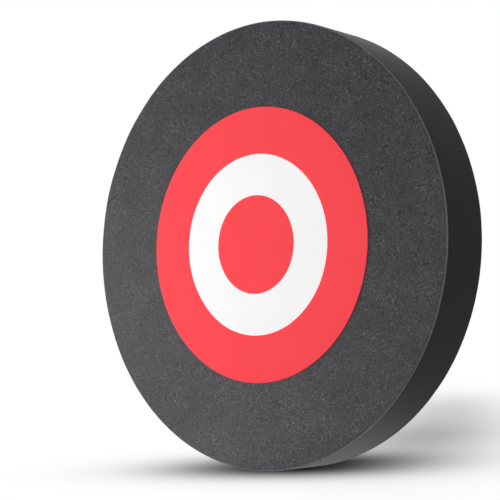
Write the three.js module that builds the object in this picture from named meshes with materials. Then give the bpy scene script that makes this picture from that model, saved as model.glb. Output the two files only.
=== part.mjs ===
// Round foam target boss: a thick disc of closed-cell foam that stands on its rim or rests on its back,
// with a three-zone target printed on its front face.
//
// Millimetres, +Z up. The disc's axis lies along Y. The origin is the centre of the flat back face, and
// the printed front looks towards -Y. Every piece is turned about the Y axis, so all share one axis.

import * as THREE from "three";

// The foam disc.
const bossDiameter = 200;
const bossThickness = 27;
const frontEdgeRadius = 0.8;
const backEdgeRadius = 1.2;

// The printed zones, from the middle out: the red centre, then the width of each zone round it.
const bullseyeDiameter = 44;
const whiteZoneWidth = 18.5;
const redZoneWidth = 21;

// The print's build-up: one white layer, with the red laid over it.
const whiteLayerThickness = 0.2;
const redLayerThickness = 0.2;
const redOverlapPastWhite = 0.6; // the red runs this far past the white layer's edge, down onto the foam

// How finely the round forms are cut into flats. The lowest flat of the rim, about 7.5 mm wide, is what
// the disc stands on: with many more flats it would roll away like a true cylinder.
const flatsAround = 84;
const stepsPerEdgeRound = 3;

const finishes = {
  foam: new THREE.MeshStandardMaterial({ color: 0x4a4a4c, roughness: 0.85, metalness: 0 }),
  whitePrint: new THREE.MeshStandardMaterial({ color: 0xfafafa, roughness: 0.6, metalness: 0 }),
  redPrint: new THREE.MeshStandardMaterial({ color: 0xff4c54, roughness: 0.6, metalness: 0 }),
};

// The planes that the pieces are stacked on, from the front of the foam to the front of the print.
const foamFrontY = -bossThickness;
const whiteFrontY = foamFrontY - whiteLayerThickness;
const redFrontY = whiteFrontY - redLayerThickness;

// The radii of the printed zones. The white layer stops inside the red zone's outer edge, so the red
// can close over it.
const bullseyeRadius = bullseyeDiameter / 2;
const redZoneInnerRadius = bullseyeRadius + whiteZoneWidth;
const redZoneOuterRadius = redZoneInnerRadius + redZoneWidth;
const whiteLayerRadius = redZoneOuterRadius - redOverlapPastWhite;

// A profile in the half plane right of the axis, where x is the distance from the axis and y the place
// along it, turned into a closed solid. Half a flat of turn puts a flat, not a corner, at the bottom, so
// the disc stands steadily on its rim.
function turned(name, profile, finish) {
  const halfAFlat = Math.PI / flatsAround;
  const solid = new THREE.LatheGeometry(profile.getPoints(stepsPerEdgeRound), flatsAround, halfAFlat);
  const mesh = new THREE.Mesh(solid, finish);
  mesh.name = name;
  return mesh;
}

// The foam disc: a flat front, a plain cylindrical rim and a flat back, with both edges rounded over.
function bossBody() {
  const rimRadius = bossDiameter / 2;
  const profile = new THREE.Path();
  profile.moveTo(0, foamFrontY);
  profile.lineTo(rimRadius - frontEdgeRadius, foamFrontY);
  profile.absarc(
    rimRadius - frontEdgeRadius,
    foamFrontY + frontEdgeRadius,
    frontEdgeRadius,
    -Math.PI / 2,
    0,
  );
  profile.lineTo(rimRadius, -backEdgeRadius);
  profile.absarc(rimRadius - backEdgeRadius, -backEdgeRadius, backEdgeRadius, 0, Math.PI / 2);
  profile.lineTo(0, 0);
  return turned("boss_body", profile, finishes.foam);
}

// The white layer lies on the foam under the whole print. Its band between the two reds stays in view.
function whiteUnderbase() {
  const profile = new THREE.Path();
  profile.moveTo(0, whiteFrontY);
  profile.lineTo(whiteLayerRadius, whiteFrontY);
  profile.lineTo(whiteLayerRadius, foamFrontY);
  profile.lineTo(0, foamFrontY);
  return turned("white_underbase", profile, finishes.whitePrint);
}

// The outer red zone lies on the white layer and steps down over its edge onto the foam, which seals
// the white in.
function redOuterRing() {
  const profile = new THREE.Path();
  profile.moveTo(redZoneInnerRadius, redFrontY);
  profile.lineTo(redZoneOuterRadius, redFrontY);
  profile.lineTo(redZoneOuterRadius, foamFrontY);
  profile.lineTo(whiteLayerRadius, foamFrontY);
  profile.lineTo(whiteLayerRadius, whiteFrontY);
  profile.lineTo(redZoneInnerRadius, whiteFrontY);
  profile.lineTo(redZoneInnerRadius, redFrontY);
  return turned("red_outer_ring", profile, finishes.redPrint);
}

// The red centre lies on the middle of the white layer.
function redBullseye() {
  const profile = new THREE.Path();
  profile.moveTo(0, redFrontY);
  profile.lineTo(bullseyeRadius, redFrontY);
  profile.lineTo(bullseyeRadius, whiteFrontY);
  profile.lineTo(0, whiteFrontY);
  return turned("red_bullseye", profile, finishes.redPrint);
}

const targetBoss = new THREE.Group();
targetBoss.name = "target_boss";
targetBoss.add(bossBody(), whiteUnderbase(), redOuterRing(), redBullseye());

export default targetBoss;
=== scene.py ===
# Round foam target boss: the finish of the foam and of the print, a pale studio and the camera.
# Metres, +Z up. The disc's axis is Y, its back is at y = 0 and its printed front looks towards -Y.

import math

import bpy
import numpy as np
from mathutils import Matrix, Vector


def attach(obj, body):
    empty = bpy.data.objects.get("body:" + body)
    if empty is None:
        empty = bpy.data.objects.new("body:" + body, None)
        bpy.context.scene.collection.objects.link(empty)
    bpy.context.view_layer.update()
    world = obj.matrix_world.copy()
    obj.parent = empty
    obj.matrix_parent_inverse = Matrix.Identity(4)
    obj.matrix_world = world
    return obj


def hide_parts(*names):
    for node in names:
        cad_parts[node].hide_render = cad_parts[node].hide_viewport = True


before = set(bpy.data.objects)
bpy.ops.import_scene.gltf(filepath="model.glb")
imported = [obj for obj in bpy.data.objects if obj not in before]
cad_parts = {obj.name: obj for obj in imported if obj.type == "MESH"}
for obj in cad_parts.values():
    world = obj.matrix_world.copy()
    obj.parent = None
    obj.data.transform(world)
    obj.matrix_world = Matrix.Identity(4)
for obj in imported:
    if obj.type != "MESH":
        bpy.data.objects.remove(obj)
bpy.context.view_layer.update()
scene = bpy.context.scene
scene.view_settings.view_transform = "Standard"


# Sizes read from the CAD nodes

def turnedSize(nodeName):
    # largest and smallest distance of a node's points from the Y axis, then its lowest and highest y
    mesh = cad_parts[nodeName].data
    points = np.empty(len(mesh.vertices) * 3)
    mesh.vertices.foreach_get("co", points)
    points = points.reshape(-1, 3)
    fromAxis = np.hypot(points[:, 0], points[:, 2])
    return fromAxis.max(), fromAxis.min(), points[:, 1].min(), points[:, 1].max()


rimRadius, _, foamFrontY, backY = turnedSize("boss_body")
whiteRadius, _, whiteFrontY, _ = turnedSize("white_underbase")
redOuterRadius, redInnerRadius, redFrontY, _ = turnedSize("red_outer_ring")
centreRadius, _, _, _ = turnedSize("red_bullseye")
floorZ = -rimRadius
print("sizes: rim radius", round(rimRadius, 4), "front", round(foamFrontY, 4), "print", round(redFrontY, 4))


# Mesh helpers

def bentGrid(pointsAcross, radius):
    # A square grid bent into a disc: each square ring of the grid becomes a circle whose radius is the
    # ring's share of the square, and its points are spread evenly round that circle.
    share = np.linspace(-1, 1, pointsAcross)
    a, b = np.meshgrid(share, share, indexing="ij")
    alongA = np.abs(a) > np.abs(b)
    ring = np.where(alongA, a, b)
    safeRing = np.where(ring == 0, 1, ring)
    angle = np.where(alongA, np.pi / 4 * b / safeRing, np.pi / 2 - np.pi / 4 * a / safeRing)
    return radius * ring * np.cos(angle), radius * ring * np.sin(angle)


def gridBorder(pointsAcross):
    # indices of a square grid's border points, once round, starting at the corner where both shares are -1
    index = np.arange(pointsAcross ** 2).reshape(pointsAcross, pointsAcross)
    return np.concatenate([index[:-1, 0], index[-1, :-1], index[:0:-1, -1], index[0, :0:-1]])


def gridQuads(index, wrapAcross=False, wrapDown=False):
    # the four corners of every cell in a table of point indices; a wrapped side joins its last row to the
    # first
    if wrapDown:
        index = np.vstack([index, index[:1]])
    if wrapAcross:
        index = np.hstack([index, index[:, :1]])
    corners = (index[:-1, :-1], index[1:, :-1], index[1:, 1:], index[:-1, 1:])
    return np.stack(corners, axis=-1).reshape(-1, 4)


def meshFrom(name, points, quads, triangles=()):
    # a smooth-shaded object made of the points and of the faces that join them
    mesh = bpy.data.meshes.new(name)
    mesh.from_pydata(points.tolist(), [], quads.tolist() + [list(t) for t in triangles])
    mesh.polygons.foreach_set("use_smooth", np.ones(len(mesh.polygons), dtype=bool))
    mesh.update()
    piece = bpy.data.objects.new(name, mesh)
    scene.collection.objects.link(piece)
    return piece


def waves(points, height, shortest, longest, count, seed):
    # A smooth random surface: the sum of many sine waves whose lengths lie between shortest and longest and
    # whose directions and starts are random, scaled so that its usual size is the height.
    draw = np.random.default_rng(seed)
    direction = draw.normal(size=(count, 3))
    direction /= np.linalg.norm(direction, axis=1, keepdims=True)
    length = np.exp(draw.uniform(np.log(shortest), np.log(longest), count))
    start = draw.uniform(0, 2 * np.pi, count)
    total = np.zeros(len(points))
    for k in range(count):
        total += np.sin(points @ direction[k] * 2 * np.pi / length[k] + start[k])
    return height * (total * np.sqrt(2 / count))


# The foam disc

foam = {
    "pointsAcross": 190,     # across each face
    "edgeSteps": 6,          # round each edge
    "rimSteps": 18,          # along the rim
    "frontEdge": 0.0008,     # radii of the two rounded edges
    "backEdge": 0.0012,
    "rimCalm": 0.35,         # the rim's share of the waves' height
    "leastHighlight": 0.33,       # how far the front arris is painted pale, as a painted highlight, where that highlight is weakest
}

# the waves of its surface: usual height, shortest and longest wave, how many, and the seed of their draws
surfaceWaves = {
    "slow skiving": (0.000045, 0.018, 0.050, 36, 4),
    "quick skiving": (0.000016, 0.004, 0.011, 64, 7),
    "coarsest grain": (0.000010, 0.002, 0.0035, 90, 11),
}

# where the painted highlight on the front arris is stronger: degrees round from +X towards +Z, degrees that
# it reaches, share added
brighterHighlightPlaces = {
    "side": (0, 26, 0.42),
    "near the foot": (-62, 20, 0.75),
}


def skiveHeight(points):
    # height of the foam's surface over its true plane, without the grain: slow waves plus quick waves
    return waves(points, *surfaceWaves["slow skiving"]) + waves(points, *surfaceWaves["quick skiving"])


def foamProfile():
    # (distance from axis, y, how much the surface faces along Y) from the front face's border over the
    # front edge, along the rim and over the back edge: two quarter circles joined by a line
    turn = np.linspace(0, np.pi / 2, foam["edgeSteps"] + 1)
    front, back = foam["frontEdge"], foam["backEdge"]
    frontArc = np.stack([rimRadius - front + front * np.sin(turn),
                         foamFrontY + front - front * np.cos(turn), -np.cos(turn)], axis=1)
    along = np.linspace(foamFrontY + front, backY - back, foam["rimSteps"] + 1)[1:-1]
    rim = np.stack([np.full_like(along, rimRadius), along, np.zeros_like(along)], axis=1)
    backArc = np.stack([rimRadius - back + back * np.cos(turn),
                        backY - back + back * np.sin(turn), np.sin(turn)], axis=1)
    return np.vstack([frontArc, rim, backArc])


def highlightAlongArris(points):
    # the painted highlight along the front arris: the least share, and at each brighter place a bell on top:
    # the share added times e to the minus square of the angle away from the place, counted in reaches
    angle = np.degrees(np.arctan2(points[:, 2], points[:, 0]))
    highlight = np.full(len(points), foam["leastHighlight"])
    for middle, reach, added in brighterHighlightPlaces.values():
        highlight += added * np.exp(-((angle - middle) / reach) ** 2)
    return highlight


def makeFoamDisc():
    # a bent grid for each face, joined border to border by the profile carried round the axis; every point
    # then moves outwards by the height of the waves there
    count = foam["pointsAcross"]
    border = gridBorder(count)
    profile = foamProfile()
    inner = profile[1:-1]  # the two end rows are the borders of the faces

    frontX, frontZ = bentGrid(count, profile[0, 0])
    backX, backZ = bentGrid(count, profile[-1, 0])
    angle = np.arctan2(frontZ.ravel()[border], frontX.ravel()[border])

    front = np.stack([frontX.ravel(), np.full(count ** 2, foamFrontY), frontZ.ravel()], axis=1)
    back = np.stack([backX.ravel(), np.full(count ** 2, backY), backZ.ravel()], axis=1)
    strip = np.stack([inner[:, :1] * np.cos(angle), np.repeat(inner[:, 1:2], len(angle), axis=1),
                      inner[:, :1] * np.sin(angle)], axis=-1).reshape(-1, 3)
    points = np.vstack([front, strip, back])

    # outward directions and the share by which each point faces along Y
    facing = np.concatenate([np.full(len(front), -1.0), np.repeat(inner[:, 2], len(angle)),
                             np.full(len(back), 1.0)])
    fromAxis = np.hypot(points[:, 0], points[:, 2])
    sideways = np.sqrt(1 - facing ** 2) / np.where(fromAxis == 0, 1, fromAxis)
    outward = np.stack([points[:, 0] * sideways, facing, points[:, 2] * sideways], axis=1)

    # the grain stays out from under the print, which presses the foam flat
    calm = foam["rimCalm"] + (1 - foam["rimCalm"]) * facing ** 2
    underPrint = (fromAxis < redOuterRadius) & (facing < 0)
    grain = waves(points, *surfaceWaves["coarsest grain"])
    height = calm * (skiveHeight(points) + np.where(underPrint, 0, grain))
    points += outward * height[:, None]

    frontIndex = np.arange(count ** 2).reshape(count, count)
    stripIndex = count ** 2 + np.arange(len(strip)).reshape(len(inner), len(angle))
    backIndex = count ** 2 + len(strip) + frontIndex
    around = np.vstack([border, stripIndex, backIndex.ravel()[border]])
    quads = np.vstack([gridQuads(frontIndex), gridQuads(around, wrapAcross=True),
                       gridQuads(backIndex)[:, ::-1]])
    piece = meshFrom("foam_disc", points, quads)

    # the first finish goes on the skived faces, the second on the rim, and they meet half way round each edge
    onRim = (facing ** 2)[quads].mean(axis=1) < 0.5
    piece.data.materials.append(skivedMaterial())
    piece.data.materials.append(rimMaterial())
    piece.data.polygons.foreach_set("material_index", onRim.astype(np.int32))

    # the painted highlight along the front edge, which is strongest half way round it and falls to 0 where it
    # meets the face and the rim: 4 times the square of the facing share, times 1 less that square
    arris = np.where(facing < 0, 4 * facing ** 2 * (1 - facing ** 2), 0) * highlightAlongArris(points)
    arrisShare = piece.data.attributes.new("arrisShare", "FLOAT", "POINT")
    arrisShare.data.foreach_set("value", arris.astype(np.float32))
    print("foam disc:", len(points), "points")
    return piece


# The print

printLayers = {
    "whitePointsAcross": 100,
    "centrePointsAcross": 50,
    "ringPointsAround": 420,
    "ringStep": 0.0010,     # between the ring's points, from its inner to its outer edge
    "edgeRound": 0.00015,   # radius of a layer's rounded edge
    "edgeSteps": 4,
}


def edgeDown(radius, frontY, footY, outwards):
    # (distance from axis, y) down a layer's edge: a quarter circle from its front, then straight down to the
    # foot
    turn = np.linspace(0, np.pi / 2, printLayers["edgeSteps"] + 1)
    size = printLayers["edgeRound"]
    arc = np.stack([radius - outwards * size * (1 - np.sin(turn)),
                    frontY + size * (1 - np.cos(turn))], axis=1)
    return np.vstack([arc, [[radius, footY]]])


def followFoam(points):
    # each point moves out of the face by the height of the foam's waves under it
    below = np.stack([points[:, 0], np.full(len(points), foamFrontY), points[:, 2]], axis=1)
    points[:, 1] -= skiveHeight(below)
    return points


def makePrintDisc(name, radius, frontY, footY, count):
    # a bent grid for the front, its edge carried down to the foot, and a fan that closes the hidden back
    border = gridBorder(count)
    edge = edgeDown(radius, frontY, footY, 1)
    x, z = bentGrid(count, edge[0, 0])
    angle = np.arctan2(z.ravel()[border], x.ravel()[border])
    front = np.stack([x.ravel(), np.full(count ** 2, frontY), z.ravel()], axis=1)
    rows = edge[1:]
    strip = np.stack([rows[:, :1] * np.cos(angle), np.repeat(rows[:, 1:2], len(angle), axis=1),
                      rows[:, :1] * np.sin(angle)], axis=-1).reshape(-1, 3)
    points = followFoam(np.vstack([front, strip, [[0, footY, 0]]]))
    frontIndex = np.arange(count ** 2).reshape(count, count)
    around = np.vstack([border, count ** 2 + np.arange(len(strip)).reshape(len(rows), len(angle))])
    last = around[-1]
    fan = np.stack([np.roll(last, -1), last, np.full(len(last), len(points) - 1)], axis=1)
    quads = np.vstack([gridQuads(frontIndex), gridQuads(around, wrapAcross=True)])
    return meshFrom(name, points, quads, fan.tolist())


def makePrintRing(name):
    # a closed profile carried round the axis: the front, the outer edge down to the foam, the underside
    # stepping up onto the white layer, and the inner edge back to the front
    outer = edgeDown(redOuterRadius, redFrontY, foamFrontY, 1)
    inner = edgeDown(redInnerRadius, redFrontY, whiteFrontY, -1)
    steps = max(2, round((redOuterRadius - redInnerRadius) / printLayers["ringStep"]))
    across = np.linspace(inner[0, 0], outer[0, 0], steps + 1)[1:-1]
    front = np.stack([across, np.full_like(across, redFrontY)], axis=1)
    under = np.array([[whiteRadius, foamFrontY], [whiteRadius, whiteFrontY]])
    profile = np.vstack([front, outer, under, inner[::-1]])
    angle = np.linspace(0, 2 * np.pi, printLayers["ringPointsAround"], endpoint=False)
    points = np.stack([profile[:, :1] * np.cos(angle), np.repeat(profile[:, 1:2], len(angle), axis=1),
                       profile[:, :1] * np.sin(angle)], axis=-1).reshape(-1, 3)
    index = np.arange(len(points)).reshape(len(profile), len(angle))
    return meshFrom(name, followFoam(points), gridQuads(index, wrapAcross=True, wrapDown=True))


# Finishes

def addNode(tree, kind, **settings):
    # a node of that kind with those settings
    made = tree.nodes.new(kind)
    for name, value in settings.items():
        setattr(made, name, value)
    return made


def newMaterial(name):
    # a material with its nodes and its shader
    material = bpy.data.materials.new(name)
    material.use_nodes = True
    tree = material.node_tree
    return material, tree, tree.nodes["Principled BSDF"]


def mathNode(tree, operation, first, second=None):
    # the operation on two values, each a number or another node's output
    made = addNode(tree, "ShaderNodeMath", operation=operation)
    for socket, value in zip(made.inputs, (first, second)):
        if isinstance(value, (int, float)):
            socket.default_value = value
        elif value is not None:
            tree.links.new(value, socket)
    return made.outputs[0]


def rangeNode(tree, value, fromLow, fromHigh, toLow, toHigh):
    # the value carried smoothly from one range to another, and held at its ends
    made = addNode(tree, "ShaderNodeMapRange", interpolation_type="SMOOTHSTEP")
    tree.links.new(value, made.inputs["Value"])
    for socket, number in zip(made.inputs[1:5], (fromLow, fromHigh, toLow, toHigh)):
        if isinstance(number, (int, float)):
            socket.default_value = number
        else:
            tree.links.new(number, socket)
    return made.outputs[0]


def bellNode(tree, place, middle, reach, turn=0):
    # e to the minus square of the distance from the middle, counted along X, Y and Z in reaches, with the
    # three turned about Z
    local = addNode(tree, "ShaderNodeMapping", vector_type="TEXTURE")
    local.inputs["Location"].default_value = middle
    local.inputs["Rotation"].default_value = (0, 0, math.radians(turn))
    local.inputs["Scale"].default_value = reach
    tree.links.new(place, local.inputs["Vector"])
    distance = addNode(tree, "ShaderNodeVectorMath", operation="LENGTH")
    tree.links.new(local.outputs[0], distance.inputs[0])
    square = mathNode(tree, "POWER", distance.outputs["Value"], 2)
    return mathNode(tree, "EXPONENT", mathNode(tree, "MULTIPLY", square, -1))


def mixColours(tree, factor, first, second):
    # the first colour turned to the second by the factor
    made = addNode(tree, "ShaderNodeMix", data_type="RGBA")
    sockets = (made.inputs["Factor"], made.inputs[6], made.inputs[7])
    for socket, value in zip(sockets, (factor, first, second)):
        if isinstance(value, (int, float)):
            socket.default_value = value
        elif isinstance(value, tuple):
            socket.default_value = (*value, 1)
        else:
            tree.links.new(value, socket)
    return made.outputs[2]


def noiseNode(tree, place, width, detail=2):
    # smooth noise from 0 to 1, in patches about that wide
    made = addNode(tree, "ShaderNodeTexNoise")
    made.inputs["Scale"].default_value = 1 / width
    made.inputs["Detail"].default_value = detail
    tree.links.new(place, made.inputs["Vector"])
    return made.outputs[0]


def cellNode(tree, place, width):
    # cells about that wide: the distance from a cell's middle, counted in widths, and a cell's random numbers
    made = addNode(tree, "ShaderNodeTexVoronoi")
    made.inputs["Scale"].default_value = 1 / width
    tree.links.new(place, made.inputs["Vector"])
    numbers = addNode(tree, "ShaderNodeSeparateColor")
    tree.links.new(made.outputs["Color"], numbers.inputs[0])
    return made.outputs["Distance"], numbers.outputs


def scaledTone(tree, tone, share):
    # the tone times the share
    made = addNode(tree, "ShaderNodeVectorMath", operation="SCALE")
    made.inputs[0].default_value = tone
    tree.links.new(share, made.inputs["Scale"])
    return made.outputs[0]


def setGloss(shader, look):
    # the finish's roughness and gloss, the same all over
    shader.inputs["Roughness"].default_value = look["roughness"]
    shader.inputs["Specular IOR Level"].default_value = look["specular"]


def pressIn(tree, shader, height, strength, depth):
    # the surface shades as if the height, from 0 to 1, raised it by as much as the depth
    made = addNode(tree, "ShaderNodeBump")
    made.inputs["Strength"].default_value = strength
    made.inputs["Distance"].default_value = depth
    tree.links.new(height, made.inputs["Height"])
    tree.links.new(made.outputs[0], shader.inputs["Normal"])


skivedFinish = {
    "tone": (0.0254, 0.0239, 0.0279),    # between the flecks
    "cell": 0.00055,                     # width of a cell of the foam
    "darkCell": 0.3,                     # shares of the tone in the darkest and the lightest cells
    "lightCell": 2.4,
    "calmPatch": 0.0045,                 # width of the patches where the cells differ less
    "calmSpan": (0.35, 0.65),            # noise in the calmest and in the wildest of them
    "calmest": 0.35,                     # shares of the difference left in those two
    "wildest": 1.3,
    "sparklePlace": (0.005, 0, -0.085),   # middle of a stretch low on the disc where the cells differ more, as painted sparkle
    "sparkleReach": (0.045, 1, 0.045),    # its reach along X, Y and Z, right through the disc
    "sparkleContrast": 0.45,                     # share by which the cells differ more there
    "patch": 0.014,                      # width of the dark and light patches
    "patchDetail": 3,
    "patchSpan": (0.3, 0.7),             # noise in the darkest and in the lightest of them
    "patchContrast": 0.16,
    "fleckTone": (0.13, 0.13, 0.135),    # cell walls that catch the light
    "fleckCell": 0.0009,                 # spacing of the places where a fleck may be
    "fleckSpan": (0.35, 0.65),           # noise in the patches with the fewest and with the most flecks
    "fleckless": (0.995, 0.92),          # shares of the places without a fleck in those two
    "fleckSize": (0.15, 0.45),           # shares of the spacing where a fleck starts to fade and is gone
    "roughness": 0.5,
    "specular": 0.24,
    "cupDepth": 0.00016,                 # depth of a cut cell, which is a shallow cup
    "cupStrength": 0.6,
}
rimFinish = {
    "tone": (0.0090, 0.0088, 0.0094),
    "grain": 0.0010,
    "grainDepth": 0.00001,
    "grainStrength": 0.4,
    "roughness": 0.58,
    "specular": 0.08,
}
paintedHighlight = {
    "tone": (0.200, 0.197, 0.205),       # the pale tone of the painted highlight on the front arris, on both
    "strength": 0.9,
}


def paintArrisHighlight(tree, tone, shader):
    # the tone turns to the pale tone of the painted highlight by the strength times the arris share
    share = addNode(tree, "ShaderNodeAttribute", attribute_name="arrisShare").outputs["Fac"]
    highlighted = mixColours(tree, mathNode(tree, "MULTIPLY", share, paintedHighlight["strength"]), tone, paintedHighlight["tone"])
    tree.links.new(highlighted, shader.inputs["Base Color"])


def skivedMaterial():
    look = skivedFinish
    material, tree, shader = newMaterial("skived foam")
    place = addNode(tree, "ShaderNodeTexCoord").outputs["Object"]

    # a cell differs from the tone by the square of its random number, less in calm patches, more in the
    # stretch of painted sparkle low on the disc, and its patch is darker or lighter
    fromMiddle, cellNumbers = cellNode(tree, place, look["cell"])
    square = mathNode(tree, "POWER", cellNumbers[0], 2)
    lighter = mathNode(tree, "MULTIPLY", square, look["lightCell"] - look["darkCell"])
    difference = mathNode(tree, "ADD", lighter, look["darkCell"] - 1)
    calm = noiseNode(tree, place, look["calmPatch"])
    spread = rangeNode(tree, calm, *look["calmSpan"], look["calmest"], look["wildest"])
    sparkle = bellNode(tree, place, look["sparklePlace"], look["sparkleReach"])
    sparkleSpread = mathNode(tree, "ADD", mathNode(tree, "MULTIPLY", sparkle, look["sparkleContrast"]), 1)
    difference = mathNode(tree, "MULTIPLY", mathNode(tree, "MULTIPLY", difference, sparkleSpread), spread)
    cellShare = mathNode(tree, "ADD", difference, 1)
    patches = noiseNode(tree, place, look["patch"], look["patchDetail"])
    contrast = look["patchContrast"]
    patchShare = rangeNode(tree, patches, *look["patchSpan"], 1 - contrast, 1 + contrast)
    tone = scaledTone(tree, look["tone"], mathNode(tree, "MULTIPLY", cellShare, patchShare))

    # flecks stand in a few of their places, in more where the patches are light, and fade from their middles
    fromFleck, fleckNumbers = cellNode(tree, place, look["fleckCell"])
    fleckless = rangeNode(tree, patches, *look["fleckSpan"], *look["fleckless"])
    chosen = rangeNode(tree, fleckNumbers[1], fleckless, 1, 0, 1)
    fading = rangeNode(tree, fromFleck, *look["fleckSize"], 1, 0)
    speckled = mixColours(tree, mathNode(tree, "MULTIPLY", chosen, fading), tone, look["fleckTone"])

    # the front arris gets its painted highlight
    paintArrisHighlight(tree, speckled, shader)
    setGloss(shader, look)
    pressIn(tree, shader, fromMiddle, look["cupStrength"], look["cupDepth"])
    return material


def rimMaterial():
    # the rim's tone, with a painted highlight along the arris, over a fine grain
    look = rimFinish
    material, tree, shader = newMaterial("cut foam rim")
    place = addNode(tree, "ShaderNodeTexCoord").outputs["Object"]
    paintArrisHighlight(tree, look["tone"], shader)
    setGloss(shader, look)
    pressIn(tree, shader, noiseNode(tree, place, look["grain"]), look["grainStrength"], look["grainDepth"])
    return material


printFinish = {
    "white": (0.92, 0.92, 0.92),
    "red": (0.95, 0.063, 0.080),
    "uneven": 0.02,                      # share by which the ink's tone varies
    "unevenWidth": 0.016,
    "unevenSpan": (0.3, 0.7),            # noise where the ink is thinnest and where it is full
    "grain": 0.0011,                     # width of the foam's grain where it shows through
    "grainDepth": 0.00001,
    "grainStrength": 0.4,
    "roughness": 0.75,
    "specular": 0.12,
}


def printMaterial(name, tone):
    # the tone, a little weaker where the ink is thin, over the foam's grain
    look = printFinish
    material, tree, shader = newMaterial(name)
    place = addNode(tree, "ShaderNodeTexCoord").outputs["Object"]
    thickness = noiseNode(tree, place, look["unevenWidth"])
    share = rangeNode(tree, thickness, *look["unevenSpan"], 1 - look["uneven"], 1)
    tree.links.new(scaledTone(tree, tone, share), shader.inputs["Base Color"])
    setGloss(shader, look)
    pressIn(tree, shader, noiseNode(tree, place, look["grain"]), look["grainStrength"], look["grainDepth"])
    return material


# The studio

camera = {
    "place": (0.3752, -0.4664, -0.0374),
    "turn": 40.73,       # degrees from looking along +Y towards -X
    "tilt": 3.46,        # degrees up
    "lens": 93.6,
    "sensor": 36,
    "clip": (0.01, 200),
}


def makeCamera():
    # looks along +Y, tilted up and then turned about Z
    data = bpy.data.cameras.new("camera")
    data.lens = camera["lens"]
    data.sensor_width = camera["sensor"]
    data.clip_start, data.clip_end = camera["clip"]
    made = bpy.data.objects.new("camera", data)
    made.location = camera["place"]
    made.rotation_euler = (math.radians(90 + camera["tilt"]), 0, math.radians(camera["turn"]))
    scene.collection.objects.link(made)
    scene.camera = made


world = {
    "ambient": 0.51,        # strength with which it lights the disc
    "background": 1.0,      # strength with which it shows
}


def makeWorld():
    # white, and as strong as the background for rays from the camera, off gloss or through glass
    made = bpy.data.worlds.new("studio")
    made.use_nodes = True
    scene.world = made
    tree = made.node_tree
    background = tree.nodes["Background"]
    background.inputs["Color"].default_value = (1, 1, 1, 1)
    rays = addNode(tree, "ShaderNodeLightPath").outputs
    shown = mathNode(tree, "ADD", rays["Is Camera Ray"], rays["Is Glossy Ray"])
    shown = mathNode(tree, "MINIMUM", mathNode(tree, "ADD", shown, rays["Is Transmission Ray"]), 1)
    strength = rangeNode(tree, shown, 0, 1, world["ambient"], world["background"])
    tree.links.new(strength, background.inputs["Strength"])


floor = {
    "halfWidth": 40,
    "tone": 0.80,      # of the light that it throws back
    "gloss": 1.1,      # strength with which it shows in the disc's gloss
}

# the disc's shadow, as pools of shade: x, y, radius across, radius along, degrees turned and depth
shadePools = {
    "foot": (0.005, -0.009, 0.033, 0.049, -30, 0.98),
    "behind the foot": (-0.004, 0.019, 0.044, 0.066, -14, 0.98),
    "near": (-0.037, 0.161, 0.043, 0.147, 27, 0.46),
    "far": (-0.147, 0.364, 0.050, 0.279, 30, 0.37),
}

# light on the floor, which the disc's gloss shows: the same values, with a depth below 0 that brightens
lightPools = {
    "under the rim": (0.055, -0.006, 0.034, 0.034, 0, -1.15),
    "before the face": (-0.040, -0.080, 0.050, 0.050, 0, -3.4),
}


def withPools(tree, place, strength, pools):
    # the strength times, for each pool, 1 less the depth times the bell at the pool's place
    for x, y, across, along, turn, depth in pools.values():
        bell = bellNode(tree, place, (x, y, floorZ), (across, along, 1), turn)
        share = mathNode(tree, "SUBTRACT", 1, mathNode(tree, "MULTIPLY", bell, depth))
        strength = mathNode(tree, "MULTIPLY", strength, share)
    return strength


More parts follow.
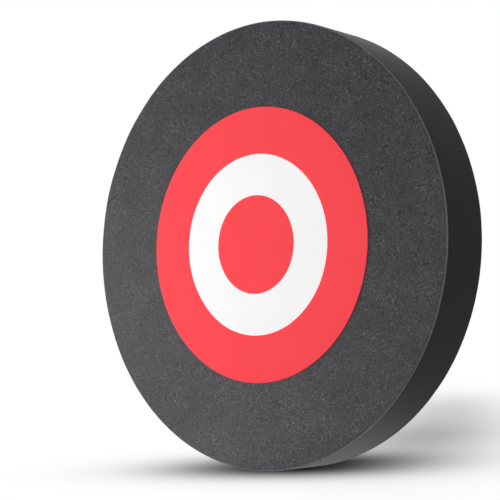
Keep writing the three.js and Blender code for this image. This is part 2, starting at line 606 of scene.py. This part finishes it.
def makeFloor():
    # the camera, also through glass, sees it white with the pools of shade, the disc's gloss sees it white
    # with the pools of light, and to all other light it is matte
    half = floor["halfWidth"]
    corners = [[-half, -half, floorZ], [half, -half, floorZ], [half, half, floorZ], [-half, half, floorZ]]
    piece = meshFrom("floor", np.array(corners), np.array([[0, 1, 2, 3]]))
    material, tree, shader = newMaterial("pale floor")
    tree.nodes.remove(shader)
    rays = addNode(tree, "ShaderNodeLightPath").outputs
    place = addNode(tree, "ShaderNodeTexCoord").outputs["Object"]
    seen = mathNode(tree, "MAXIMUM", rays["Is Camera Ray"], rays["Is Transmission Ray"])
    shown = withPools(tree, place, seen, shadePools)
    glossy = mathNode(tree, "MULTIPLY", rays["Is Glossy Ray"], floor["gloss"])
    glossy = withPools(tree, place, glossy, lightPools)
    white = addNode(tree, "ShaderNodeEmission")
    white.inputs["Color"].default_value = (1, 1, 1, 1)
    tree.links.new(mathNode(tree, "ADD", shown, glossy), white.inputs["Strength"])
    matte = addNode(tree, "ShaderNodeBsdfDiffuse")
    matte.inputs["Color"].default_value = (floor["tone"], floor["tone"], floor["tone"], 1)
    mix = addNode(tree, "ShaderNodeMixShader")
    tree.links.new(mathNode(tree, "MAXIMUM", seen, rays["Is Glossy Ray"]), mix.inputs[0])
    tree.links.new(matte.outputs[0], mix.inputs[1])
    tree.links.new(white.outputs[0], mix.inputs[2])
    tree.links.new(mix.outputs[0], tree.nodes["Material Output"].inputs["Surface"])
    piece.data.materials.append(material)


# each softbox: degrees round from the front towards -X, degrees up, distance, width, height and watts
softboxes = {
    "overhead": (0, 88, 1.5, 1.2, 1.2, 16.1),
    "left": (80, 20, 1.0, 0.4, 0.4, 1.55),
    "low strip": (50, -5, 0.5, 0.3, 0.08, 0.97),
    "behind": (150, 38, 1.0, 0.4, 0.4, 0.5),
}


def makeSoftbox(name, turn, rise, distance, width, height, watts):
    # stands on a sphere round the disc's middle and looks at it
    turn, rise = math.radians(turn), math.radians(rise)
    middle = Vector((0, (foamFrontY + backY) / 2, 0))
    away = Vector((-math.sin(turn) * math.cos(rise), -math.cos(turn) * math.cos(rise), math.sin(rise)))
    data = bpy.data.lights.new(name, "AREA")
    data.shape = "RECTANGLE"
    data.size = width
    data.size_y = height
    data.energy = watts
    made = bpy.data.objects.new(name, data)
    made.location = middle + away * distance
    made.rotation_euler = (-away).to_track_quat("-Z", "Y").to_euler()
    made.visible_camera = False
    scene.collection.objects.link(made)


makeCamera()
makeWorld()
makeFloor()
for name, values in softboxes.items():
    makeSoftbox(name, *values)
print("studio ready")

foamDisc = makeFoamDisc()
whiteLayer = makePrintDisc("white_print_layer", whiteRadius, whiteFrontY, foamFrontY,
                           printLayers["whitePointsAcross"])
redZone = makePrintRing("red_print_zone")
redCentre = makePrintDisc("red_print_centre", centreRadius, redFrontY, whiteFrontY,
                          printLayers["centrePointsAcross"])
whiteLayer.data.materials.append(printMaterial("white ink", printFinish["white"]))
redInk = printMaterial("red ink", printFinish["red"])
redZone.data.materials.append(redInk)
redCentre.data.materials.append(redInk)
print("pieces ready")

for piece, node, slot in ((foamDisc, "boss_body", "foam"), (whiteLayer, "white_underbase", "white_print"),
                          (redZone, "red_outer_ring", "red_print"), (redCentre, "red_bullseye", "red_print")):
    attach(piece, "root")
    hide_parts(node)
